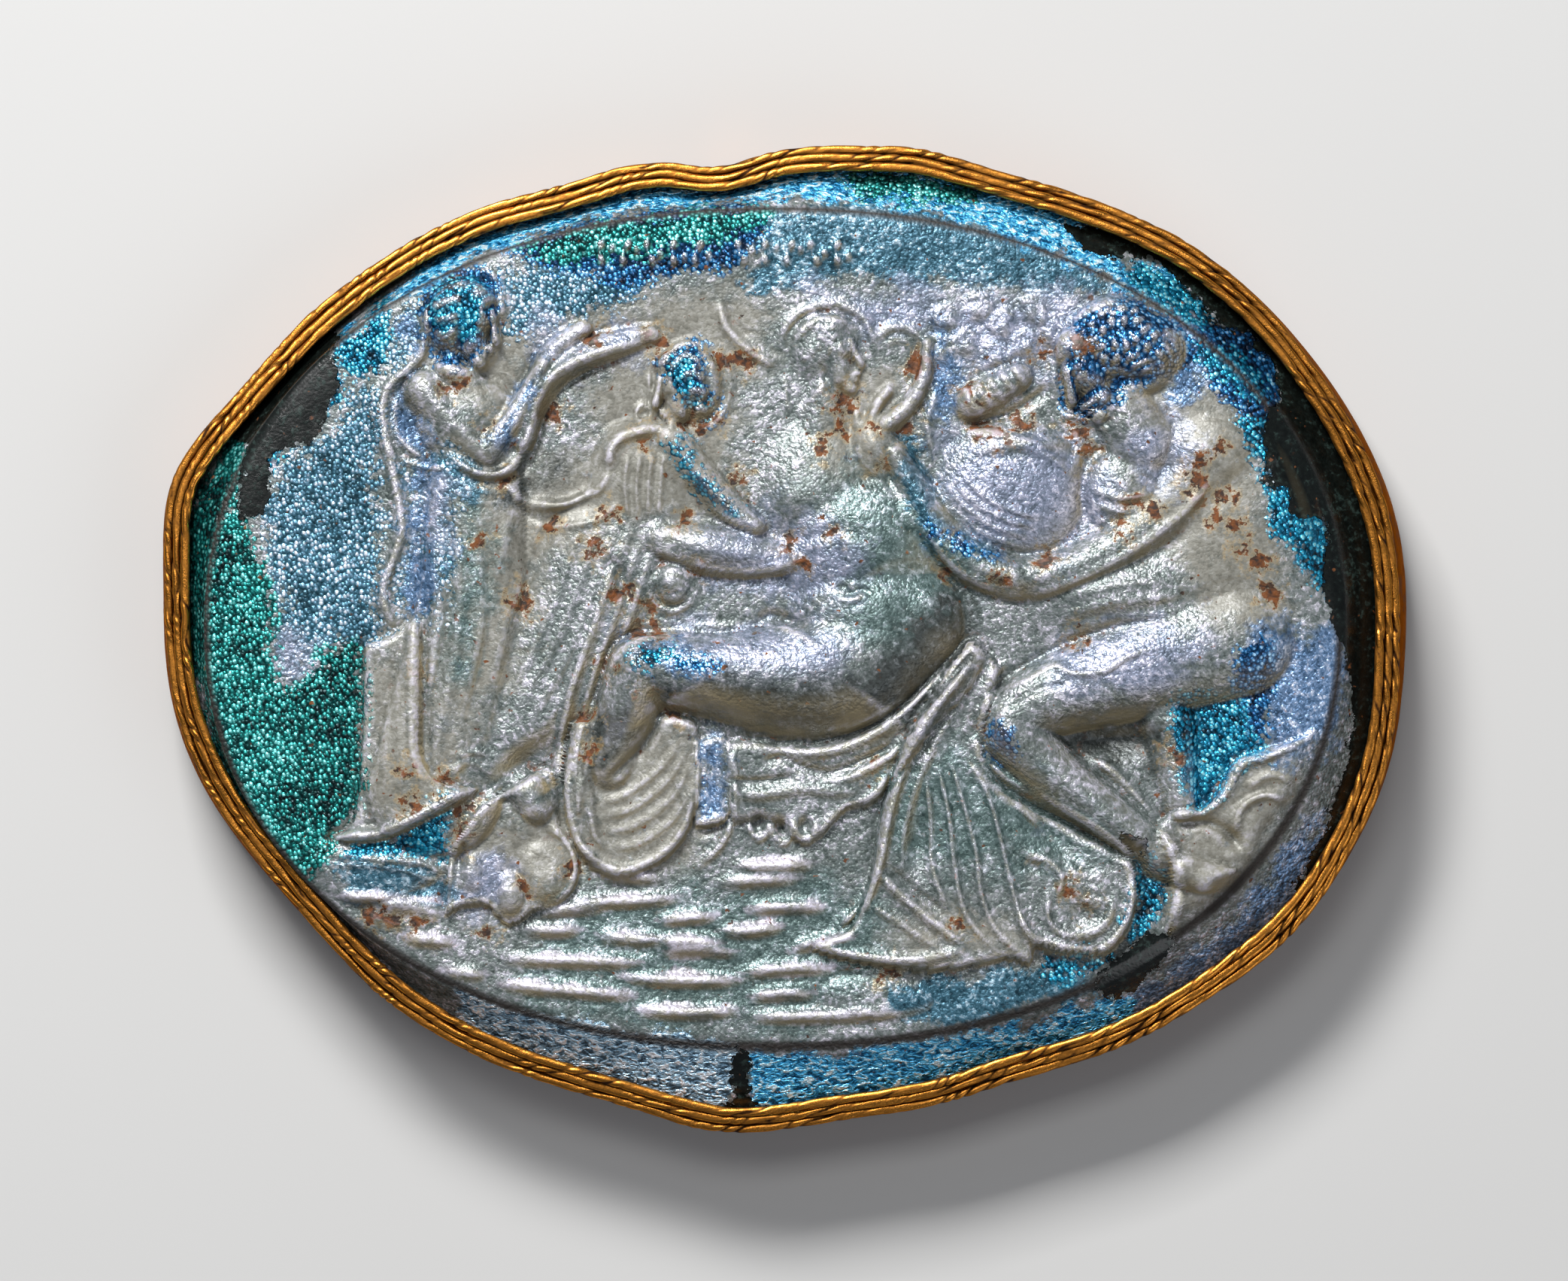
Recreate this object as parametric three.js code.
// An oval glass cameo, moulded in relief, in a gold collet with three twisted wires on its rim.
// It lies on its back: X runs along the oval, Y across it, and Z out of the carved face.
// Millimetres. The origin is under the middle of the setting, on the surface it lies on.
import * as THREE from 'three';

// The collet, made of sheet gold: a flat back, an upright wall and a lip turned in over the glass.
const SETTING_LENGTH = 30.2;
const SETTING_WIDTH = 23.4;
const WALL_HEIGHT = 2.45;
const WALL_THICKNESS = 0.35;
const BACK_THICKNESS = 0.25;
const LIP_REACH = 0.6;
const LIP_THICKNESS = 0.24;
const LIP_SLOPE_DEGREES = 35;

// The three wires lie side by side on the sloping lip, with a hair's gap between them.
const WIRE_DIAMETER = 0.22;
const WIRE_GAP = 0.03;

// The glass lies loose in the collet.
const GLASS_CLEARANCE = 0.05;
const FIELD_HEIGHT = 3.4;
const BEVEL_FOOT_HEIGHT = 2.58;
const RELIEF_HEIGHT = 1.35;

// The border, which holds the rim and the glass's bevel, leaves the field that is carved.
const BORDER_AT_ENDS = 1.55;
const BORDER_AT_SIDES = 1.7;
const FIELD_LENGTH = SETTING_LENGTH - 2 * BORDER_AT_ENDS;
const FIELD_WIDTH = SETTING_WIDTH - 2 * BORDER_AT_SIDES;
const FIELD_SHIFT_ALONG = -0.3;
const FIELD_SHIFT_ACROSS = 0.28;

// How far the two ovals are from a true ellipse, which has a fullness of 2.
const OVAL_FULLNESS = 2.03;
const FIELD_FULLNESS = 2.15;

// The thin metal has been pushed in and out. Each bend has its direction and spread in degrees,
// and its push as a share of the deepest.
const DEEPEST_BEND = 0.48;
const BENDS = [
  { at: 358, spread: 10, push: -0.44 },
  { at: 42, spread: 14, push: 0.46 },
  { at: 75, spread: 6, push: 0.29 },
  { at: 99, spread: 7, push: -0.92 },
  { at: 104, spread: 2.5, push: 0.13 },
  { at: 117, spread: 8, push: -0.42 },
  { at: 166, spread: 7.5, push: 1 },
  { at: 208, spread: 14, push: -0.96 },
  { at: 263, spread: 10, push: 0.75 },
  { at: 297, spread: 9, push: -0.38 },
  { at: 330, spread: 7, push: 0.23 },
];

// The wall leans in towards its top, most of all at the two ends of the oval.
const LEAN_ALL_ROUND = 0.03;
const LEAN_AT_ENDS = 0.26;
const LEANS = [
  { at: 8, spread: 26, push: 1 },
  { at: 186, spread: 30, push: 0.5 },
];

// How finely the surfaces are divided.
const STEPS_ROUND = 66;
const WIRE_SIDES = 5;
const CELLS_ALONG = 60;
const CELLS_ACROSS = 46;

// The carver's step, in which all the carving is laid out: a small share of the field and relief.
const STEPS_ALONG_FIELD = 151;
const STEPS_ACROSS_FIELD = 111;
const STEPS_IN_HIGHEST_RELIEF = 7.4;

const gold = new THREE.MeshStandardMaterial({ color: 0xc98a2b, roughness: 0.32, metalness: 1.0 });
const wornGold = new THREE.MeshStandardMaterial({ color: 0xd89a34, roughness: 0.28, metalness: 1.0 });
const weatheredGlass = new THREE.MeshStandardMaterial({ color: 0x8f9a98, roughness: 0.4, metalness: 0.35 });

// Outlines

// A row of soft pushes on a ring, summed in the direction of a point.
function pushAt(point, pushes) {
  const direction = THREE.MathUtils.radToDeg(Math.atan2(point.y, point.x));
  return pushes.reduce((sum, { at, spread, push }) => {
    const away = THREE.MathUtils.euclideanModulo(direction - at + 180, 360) - 180;
    return sum + push * Math.exp(-((away / spread) ** 2));
  }, 0);
}

function superellipsePoint(turn, length, width, fullness) {
  const along = Math.sign(Math.cos(turn)) * Math.abs(Math.cos(turn)) ** (2 / fullness);
  const across = Math.sign(Math.sin(turn)) * Math.abs(Math.sin(turn)) ** (2 / fullness);
  return new THREE.Vector2((length / 2) * along, (width / 2) * across);
}

function bentOvalPoint(turn) {
  const point = superellipsePoint(turn, SETTING_LENGTH, SETTING_WIDTH, OVAL_FULLNESS);
  return point.setLength(point.length() + DEEPEST_BEND * pushAt(point, BENDS));
}

// The bends shift the oval's box a little, so the middle of the box becomes the origin.
const ovalMiddle = (() => {
  const samples = Array.from({ length: 720 }, (_, i) => bentOvalPoint((i / 720) * 2 * Math.PI));
  return new THREE.Box2().setFromPoints(samples).getCenter(new THREE.Vector2());
})();

function outlinePoint(turn, inset) {
  const nudge = 0.01;
  const here = bentOvalPoint(turn).sub(ovalMiddle);
  const ahead = bentOvalPoint(turn + nudge).sub(bentOvalPoint(turn - nudge)).normalize();
  return here.add(new THREE.Vector2(-ahead.y, ahead.x).multiplyScalar(inset));
}

function leanAt(turn) {
  return LEAN_ALL_ROUND + LEAN_AT_ENDS * pushAt(bentOvalPoint(turn), LEANS);
}

function fieldPoint(turn, share) {
  const point = superellipsePoint(turn, FIELD_LENGTH, FIELD_WIDTH, FIELD_FULLNESS).multiplyScalar(share);
  return point.add(new THREE.Vector2(FIELD_SHIFT_ALONG, FIELD_SHIFT_ACROSS));
}

// Sections

const LIP_SLOPE = THREE.MathUtils.degToRad(LIP_SLOPE_DEGREES);
const LIP_DROP = LIP_THICKNESS / Math.cos(LIP_SLOPE);

function lipTop(inset) {
  return WALL_HEIGHT + inset * Math.tan(LIP_SLOPE);
}

// Takes a ring made round the Z axis and lays it along the outline. A vertex's distance from the
// ring's nominal radius is its inset, and the lean grows with its height up to the wall's top.
function layAlongOutline(geometry, nominalRadius) {
  const position = geometry.attributes.position;
  for (let i = 0; i < position.count; i += 1) {
    const x = position.getX(i);
    const y = position.getY(i);
    const radius = Math.hypot(x, y);
    if (radius > 1e-6) {
      const turn = Math.atan2(y, x);
      const rise = Math.min(position.getZ(i) / WALL_HEIGHT, 1);
      const point = outlinePoint(turn, nominalRadius - radius + rise * leanAt(turn));
      position.setXY(i, point.x, point.y);
    } else {
      position.setXY(i, 0, 0);
    }
  }
  geometry.deleteAttribute('normal');
  geometry.deleteAttribute('uv');
  geometry.computeVertexNormals();
  return geometry;
}

function makeSetting() {
  const radius = SETTING_WIDTH / 2;
  const innerFace = radius - WALL_THICKNESS;
  const lipEdge = radius - LIP_REACH;
  const profile = [
    [0, 0],
    [radius, 0],
    [radius, WALL_HEIGHT],
    [lipEdge, lipTop(LIP_REACH)],
    [lipEdge, lipTop(LIP_REACH) - LIP_DROP],
    [innerFace, lipTop(WALL_THICKNESS) - LIP_DROP],
    [innerFace, BACK_THICKNESS],
    [0, BACK_THICKNESS],
  ];
  const turned = new THREE.LatheGeometry(profile.map(([x, z]) => new THREE.Vector2(x, z)), STEPS_ROUND);
  return layAlongOutline(turned.rotateX(Math.PI / 2), radius);
}

function makeWire(place) {
  const spacing = WIRE_DIAMETER + WIRE_GAP;
  const inset = WIRE_DIAMETER / 2 + place * spacing * Math.cos(LIP_SLOPE);
  const height = lipTop(inset) + (WIRE_DIAMETER / 2 + WIRE_GAP) / Math.cos(LIP_SLOPE);
  const radius = SETTING_WIDTH / 2;
  const ring = new THREE.TorusGeometry(radius - inset, WIRE_DIAMETER / 2, WIRE_SIDES, STEPS_ROUND);
  return layAlongOutline(ring.translate(0, 0, height), radius);
}

// Carving strokes. Each takes a place and the height so far, and gives the new height, in steps.

const SPANS_PER_POINT = 5;

// A smooth path through points, as short straight spans, with the box that it and its width fill.
function pathThrough(points, reach) {
  const corners = points.map(([x, y]) => new THREE.Vector3(x, y, 0));
  const curve = new THREE.CatmullRomCurve3(corners, false, 'catmullrom');
  const stops = points.length === 2 ? corners : curve.getPoints((points.length - 1) * SPANS_PER_POINT);
  let walked = 0;
  const spans = stops.slice(1).map((end, i) => {
    const start = stops[i];
    const span = { start, end, across: end.clone().sub(start), length: start.distanceTo(end), walked };
    walked += span.length;
    return span;
  });
  const box = new THREE.Box3().setFromPoints(stops).expandByScalar(reach);
  return { spans, length: walked, box };
}

function isNear({ box }, x, y) {
  return x > box.min.x && x < box.max.x && y > box.min.y && y < box.max.y;
}

// The distance to a path, and how far along it the nearest point is, from 0 to 1.
function nearestOn(path, x, y) {
  let distance = Infinity;
  let share = 0;
  for (const { start, across, length, walked } of path.spans) {
    const ahead = ((x - start.x) * across.x + (y - start.y) * across.y) / length ** 2;
    const t = Math.min(Math.max(ahead, 0), 1);
    const away = Math.hypot(x - start.x - t * across.x, y - start.y - t * across.y);
    if (away < distance) {
      distance = away;
      share = (walked + t * length) / path.length;
    }
  }
  return { distance, share };
}

function valueAlong(values, share) {
  const at = share * (values.length - 1);
  const before = Math.min(Math.floor(at), values.length - 2);
  return THREE.MathUtils.lerp(values[before], values[before + 1], at - before);
}

const BLEND = 0.5;
const UNDERCUT_WIDTH = 0.9;

// Two forms meet in a small soft hollow, and a raised form is cut in a little round its foot.
function join(below, above) {
  const mix = THREE.MathUtils.clamp(0.5 + (0.5 * (above - below)) / BLEND, 0, 1);
  return THREE.MathUtils.lerp(below, above, mix) + BLEND * mix * (1 - mix);
}

function undercut(height, outside, depth) {
  return height - depth * Math.exp(-((Math.max(outside, 0) / UNDERCUT_WIDTH) ** 2));
}

function limb(points, widths, rise, cut = 0.4) {
  const path = pathThrough(points, Math.max(...widths) + 2 * UNDERCUT_WIDTH);
  return (x, y, height) => {
    if (!isNear(path, x, y)) return height;
    const { distance, share } = nearestOn(path, x, y);
    const width = valueAlong(widths, share);
    const lowered = undercut(height, distance - width, cut);
    if (distance >= width) return lowered;
    return join(lowered, rise * Math.sqrt(1 - (distance / width) ** 2));
  };
}

function mound([cx, cy], [rx, ry], rise, tilt = 0, cut = 0.35) {
  const turn = THREE.MathUtils.degToRad(tilt);
  return (x, y, height) => {
    const along = ((x - cx) * Math.cos(turn) + (y - cy) * Math.sin(turn)) / rx;
    const across = ((y - cy) * Math.cos(turn) - (x - cx) * Math.sin(turn)) / ry;
    const reach = Math.hypot(along, across);
    const lowered = undercut(height, (reach - 1) * Math.min(rx, ry), cut);
    if (reach >= 1) return lowered;
    return join(lowered, rise * Math.sqrt(1 - reach ** 2));
  };
}

// A rounded ridge laid over what is there, thinning out at both ends.
function fold(points, width, rise) {
  const path = pathThrough(points, 2 * width);
  return (x, y, height) => {
    if (!isNear(path, x, y)) return height;
    const { distance, share } = nearestOn(path, x, y);
    const end = THREE.MathUtils.clamp(Math.min(share, 1 - share) * 6, 0, 1);
    return height + rise * end * Math.exp(-2 * (distance / width) ** 2);
  };
}

// A raised piece of cloth or rock inside a closed outline, with a rounded edge.
function sheet(outline, rise, edge = 1.2) {
  const path = pathThrough([...outline, outline[0]], 2 * UNDERCUT_WIDTH);
  const isInside = (x, y) => path.spans.reduce((inside, { start, end, across }) => {
    const crosses = start.y > y !== end.y > y && x < (across.x * (y - start.y)) / across.y + start.x;
    return crosses ? !inside : inside;
  }, false);
  return (x, y, height) => {
    if (!isNear(path, x, y)) return height;
    const { distance } = nearestOn(path, x, y);
    if (!isInside(x, y)) return undercut(height, distance, 0.3);
    const up = Math.min(distance / edge, 1);
    return height + rise * Math.sqrt(1 - (1 - up) ** 2);
  };
}

// Several folds between two, from the first line to the last, evenly shared out.
function foldsBetween(first, last, count, width, rise) {
  return Array.from({ length: count }, (_, i) => {
    const share = count > 1 ? i / (count - 1) : 0;
    const points = first.map(([x, y], k) => [
      THREE.MathUtils.lerp(x, last[k][0], share),
      THREE.MathUtils.lerp(y, last[k][1], share),
    ]);
    return fold(points, width, rise);
  });
}

// The figures and what is round them, in steps from the middle of the setting.

function groundStrokes() {
  const rows = Array.from({ length: 6 }, (_, k) => {
    const y = -33.5 - 2.8 * k;
    return foldsBetween([[-38 + 2.4 * k, y], [-30 + 2.4 * k, y - 0.5]], [[4, y], [14, y - 0.5]], 3, 1.2, 0.8);
  });
  return [mound([2, 6], [60, 38], 1.3, 0, 0), mound([-54, -29], [9, 4.5], 1.6, 12), ...rows.flat()];
}

function drapedFigure() {
  return [
    limb([[-42, 24], [-42.5, 0], [-47, -20]], [5, 6.5, 9], 2.6),
    mound([-42, 30], [6.5, 6], 3.0),
    ...foldsBetween([[-46, 20], [-46, 2], [-51, -21]], [[-38.5, 20], [-38.5, 2], [-41, -17]], 4, 1.1, 0.6),
    sheet([[-56.5, 0], [-49, 2], [-47.5, -14], [-42.5, -19], [-50, -24], [-60, -26.3], [-57, -16]], 1.4),
    fold([[-48.5, 45], [-50.5, 36], [-52.8, 29], [-51, 22], [-53.4, 8], [-51.5, 1]], 1.2, 1.1),
    limb([[-43.8, 38], [-41.7, 31]], [2.2, 2.6], 3.6),
    mound([-44.2, 43.2], [5.2, 6.6], 4.8),
    mound([-39.6, 39.6], [2.1, 2.3], 3.4),
    limb([[-47.3, 33.5], [-44.5, 28], [-40, 23.8]], [3.2, 3.2, 3.0], 4.8),
    limb([[-40, 23.8], [-35.5, 28.5], [-33, 36.5]], [3.0, 2.6, 2.0], 5.0),
    limb([[-34, 36.5], [-28.5, 39.6], [-19.5, 41], [-9.5, 43]], [2.3, 2.5, 2.6, 1.8], 3.2),
  ];
}

function attendantFigure() {
  return [
    limb([[-22, 18], [-31, -4], [-38.5, -18]], [9, 7.5, 4.5], 2.8),
    limb([[-20, 24], [-19, 12]], [9, 8], 3.0),
    ...foldsBetween([[-25, 19], [-30, 4], [-36, -8]], [[-19, 18], [-24, 2], [-31, -12]], 3, 1.1, 0.5),
    fold([[-25, 20.5], [-22.5, 26], [-18, 27.6]], 1.2, 1.0),
    ...foldsBetween([[-18.5, 14], [-25, 3], [-29.5, -10], [-29, -26]], [[-14, 11], [-21, 1], [-27, -12], [-24, -29]], 2, 1.2, 1.0),
    mound([-15, 35.2], [5.2, 6.6], 4.6),
    limb([[-16, 26], [-10, 20], [-4.5, 14]], [3.2, 2.8, 2.4], 4.4),
  ];
}

function recliningFigure() {
  return [
    mound([4.5, 22], [13, 12], 3.6),
    mound([5.3, 39.5], [5.4, 5.8], 3.4),
    limb([[6, 34], [6, 29]], [2.6, 3.6], 3.0),
    mound([11, 9], [16, 15], 5.6),
    limb([[19, 3], [6, -4.5], [-10, -2.6], [-20.5, -3.6]], [9.5, 8.3, 6.2, 4.6], 6.8),
    limb([[-20.3, -4], [-23, -10], [-26, -17]], [4.6, 4.2, 3.2], 6.2),
    limb([[-18, 14.5], [-9.5, 11.3], [4.5, 13.5]], [2.8, 3.2, 3.4], 5.0),
    mound([-14.6, 7.2], [3.4, 3.2], 4.4),
  ];
}

function leaningFigure() {
  return [
    mound([60, 15], [15, 17], 2.6, 0, 0),
    limb([[56, 30], [60, 14], [54, 2]], [9, 11, 11], 3.0, 0.2),
    mound([30, 22], [12.5, 11], 4.2),
    mound([44.2, 38.6], [9.0, 7.6], 4.8, -15),
    limb([[41, 31], [43, 26]], [3.2, 4], 3.6),
    mound([28, 34.6], [4.6, 3.2], 3.8, 25),
    mound([52, 28], [7.5, 6.5], 5.0),
    limb([[51, 28], [43, 18.5], [32.5, 10.5]], [5.4, 4.6, 3.8], 6.2),
    limb([[32.5, 10.5], [22.5, 12.8], [14.5, 22.5]], [3.8, 3.4, 2.7], 6.0),
    mound([12.2, 26], [3.6, 4.6], 4.8, 10),
    limb([[56, -2], [42, -5], [29, -11.5]], [8.5, 7, 4.8], 5.8),
    limb([[50, -9], [52, -17], [52, -22]], [4.0, 3.6, 2.6], 3.2),
    limb([[29.5, -13], [38, -21], [49.5, -31]], [4.6, 4.3, 2.6], 5.6),
    limb([[49, -31], [55, -33]], [2.6, 2.2], 3.8),
  ];
}

function spreadCloth() {
  return [
    ...foldsBetween([[27.5, 4], [13, -10.5], [-7, -15]], [[30, 0], [15, -15], [-7, -20.5]], 3, 1.3, 1.0),
    fold([[-8, -22], [0, -24.5], [8, -25], [14, -22], [19, -16]], 1.5, 1.0),
    sheet([[25, 2], [31, -3], [30, -13], [45.5, -29], [46, -35], [43.5, -40.5], [31, -43], [20, -43], [3.5, -41], [12.5, -30], [20, -6]], 1.6),
    ...foldsBetween([[22.5, -8], [13.5, -23], [8, -39]], [[24.5, -8], [31.5, -27], [37, -38.5]], 6, 1.2, 0.9),
    fold([[35, -38.8], [40, -39.6], [44, -38], [45.6, -33], [44, -29.5]], 1.4, 1.1),
    sheet([[-29, -12], [-20, -13], [-12.5, -11], [-12, -20], [-14, -26], [-19, -29.5], [-24.5, -29], [-28, -24]], 1.3),
    ...foldsBetween([[-28, -13], [-25, -28], [-14, -23], [-13, -14]], [[-20, -14], [-19, -20], [-16.5, -18], [-15, -14]], 3, 1.1, 0.8),
    limb([[-11, -12], [-10.5, -18], [-10.8, -24]], [1.6, 2.0, 2.6], 2.8),
    sheet([[-42, -22], [-36, -18], [-31, -22], [-29, -30], [-31, -36], [-38, -38.5], [-45, -37], [-47, -30]], 1.8),
    ...foldsBetween([[-40.5, -25], [-40.5, -34]], [[-31.8, -26], [-31.8, -35]], 3, 2.4, 1.4),
  ];
}

function rocks() {
  return [
    sheet([[47, -28], [54, -23.5], [61, -15.5], [68, -12.5], [70, -20], [65, -30], [57, -38.5], [50, -38.5]], 1.5),
    ...foldsBetween([[58, -21], [60, -24], [58.5, -28], [62, -32]], [[62, -17], [64, -21], [61.5, -25], [65, -29]], 2, 1.2, 0.7),
  ];
}

const STROKES = [
  ...groundStrokes(),
  ...drapedFigure(),
  ...attendantFigure(),
  ...recliningFigure(),
  ...leaningFigure(),
  ...spreadCloth(),
  ...rocks(),
];

const FADE_AT_FIELD_EDGE = 0.05;

// Places round a vertex, in steps, whose mean height it takes, so that no narrow form is missed.
const SOUNDINGS = [[0, 0], [0.6, 0.3], [-0.3, 0.6], [-0.6, -0.3], [0.3, -0.6]];

function reliefAt(point, share) {
  const x = point.x * (STEPS_ALONG_FIELD / FIELD_LENGTH);
  const y = point.y * (STEPS_ACROSS_FIELD / FIELD_WIDTH);
  const heights = SOUNDINGS.map(([dx, dy]) => STROKES.reduce((h, stroke) => stroke(x + dx, y + dy, h), 0));
  const height = heights.reduce((sum, h) => sum + h, 0) / SOUNDINGS.length;
  const fade = THREE.MathUtils.smoothstep(1 - share, 0, FADE_AT_FIELD_EDGE);
  return height * fade * (RELIEF_HEIGHT / STEPS_IN_HIGHEST_RELIEF);
}

// The glass

// Rings of the glass's face, from its edge inwards, as shares of a unit square.
const BEVEL_FOOT_RING = 0.97;
const FIELD_RING = 0.94;
const BORDER_RINGS = [1, BEVEL_FOOT_RING, FIELD_RING];

// A line of a flat lattice, from -1 to 1: the border rings first, and even spaces between them.
function latticeLine(index, cells) {
  const fromEnd = Math.min(index, cells - index);
  if (fromEnd < BORDER_RINGS.length) return BORDER_RINGS[fromEnd] * Math.sign(index - cells / 2);
  const border = BORDER_RINGS.length - 1;
  return FIELD_RING * (-1 + (2 * (index - border)) / (cells - 2 * border));
}

// A place on a square turned into a ring, from 0 to 1, and a turn round it, with even cells.
function squareToRing(u, v) {
  const ring = Math.max(Math.abs(u), Math.abs(v));
  if (ring === 0) return { ring, turn: 0 };
  const quarter = Math.PI / 4;
  if (Math.abs(u) >= Math.abs(v)) {
    return { ring, turn: u > 0 ? (quarter * v) / u : Math.PI + (quarter * v) / u };
  }
  return { ring, turn: v > 0 ? 2 * quarter - (quarter * u) / v : 6 * quarter - (quarter * u) / v };
}

function glassFacePoint(u, v) {
  const { ring, turn } = squareToRing(u, v);
  const edgeInset = WALL_THICKNESS + GLASS_CLEARANCE;
  const footInset = LIP_REACH + GLASS_CLEARANCE;
  const lean = leanAt(turn);
  if (ring > BEVEL_FOOT_RING + 1e-6) {
    const edgeHeight = lipTop(edgeInset) - LIP_DROP - GLASS_CLEARANCE;
    const edge = outlinePoint(turn, edgeInset + lean);
    return new THREE.Vector3(edge.x, edge.y, edgeHeight);
  }
  if (ring > FIELD_RING + 1e-6) {
    const foot = outlinePoint(turn, footInset + lean);
    return new THREE.Vector3(foot.x, foot.y, BEVEL_FOOT_HEIGHT);
  }
  const share = ring / FIELD_RING;
  const point = fieldPoint(turn, share);
  return new THREE.Vector3(point.x, point.y, FIELD_HEIGHT + reliefAt(point, share));
}

// The lattice's outer vertices, once round, anticlockwise from above.
function rimOfLattice(alongCells, acrossCells) {
  const columns = alongCells + 1;
  const rim = [];
  for (let i = 0; i < alongCells; i += 1) rim.push(acrossCells * columns + i);
  for (let j = acrossCells; j > 0; j -= 1) rim.push(j * columns + alongCells);
  for (let i = alongCells; i > 0; i -= 1) rim.push(i);
  for (let j = 0; j < acrossCells; j += 1) rim.push(j * columns);
  return rim;
}

// Two triangles for each cell, split along the diagonal whose ends differ least in height.
function latticeTriangles(points, alongCells, acrossCells) {
  const triangles = [];
  for (let j = 0; j < acrossCells; j += 1) {
    for (let i = 0; i < alongCells; i += 1) {
      const a = j * (alongCells + 1) + i;
      const [b, c, d] = [a + 1, a + alongCells + 2, a + alongCells + 1];
      const fallsFromA = Math.abs(points[a].z - points[c].z) < Math.abs(points[b].z - points[d].z);
      triangles.push(...(fallsFromA ? [a, d, c, a, c, b] : [a, d, b, b, d, c]));
    }
  }
  return triangles;
}

function makeGlass() {
  const along = CELLS_ALONG + 2 * (BORDER_RINGS.length - 1);
  const across = CELLS_ACROSS + 2 * (BORDER_RINGS.length - 1);
  const points = [];
  for (let j = 0; j <= across; j += 1) {
    for (let i = 0; i <= along; i += 1) {
      points.push(glassFacePoint(latticeLine(i, along), -latticeLine(j, across)));
    }
  }
  const triangles = latticeTriangles(points, along, across);
  const rim = rimOfLattice(along, across);
  const underside = BACK_THICKNESS + GLASS_CLEARANCE;
  const firstBelow = points.length;
  for (const index of rim) points.push(new THREE.Vector3(points[index].x, points[index].y, underside));
  const middle = points.length;
  points.push(new THREE.Vector3(0, 0, underside));
  rim.forEach((top, k) => {
    const next = (k + 1) % rim.length;
    const below = firstBelow + k;
    const belowNext = firstBelow + next;
    triangles.push(top, below, belowNext, top, belowNext, rim[next]);
    triangles.push(below, middle, belowNext);
  });
  const glass = new THREE.BufferGeometry().setFromPoints(points);
  glass.setIndex(triangles);
  glass.computeVertexNormals();
  return glass;
}

// The object

const cameo = new THREE.Group();

function addPiece(name, geometry, material) {
  const mesh = new THREE.Mesh(geometry, material);
  mesh.name = name;
  cameo.add(mesh);
}

addPiece('glass_cameo', makeGlass(), weatheredGlass);
addPiece('gold_setting', makeSetting(), gold);
['gold_wire_outer', 'gold_wire_middle', 'gold_wire_inner'].forEach((name, place) => {
  addPiece(name, makeWire(place), wornGold);
});

export default cameo;
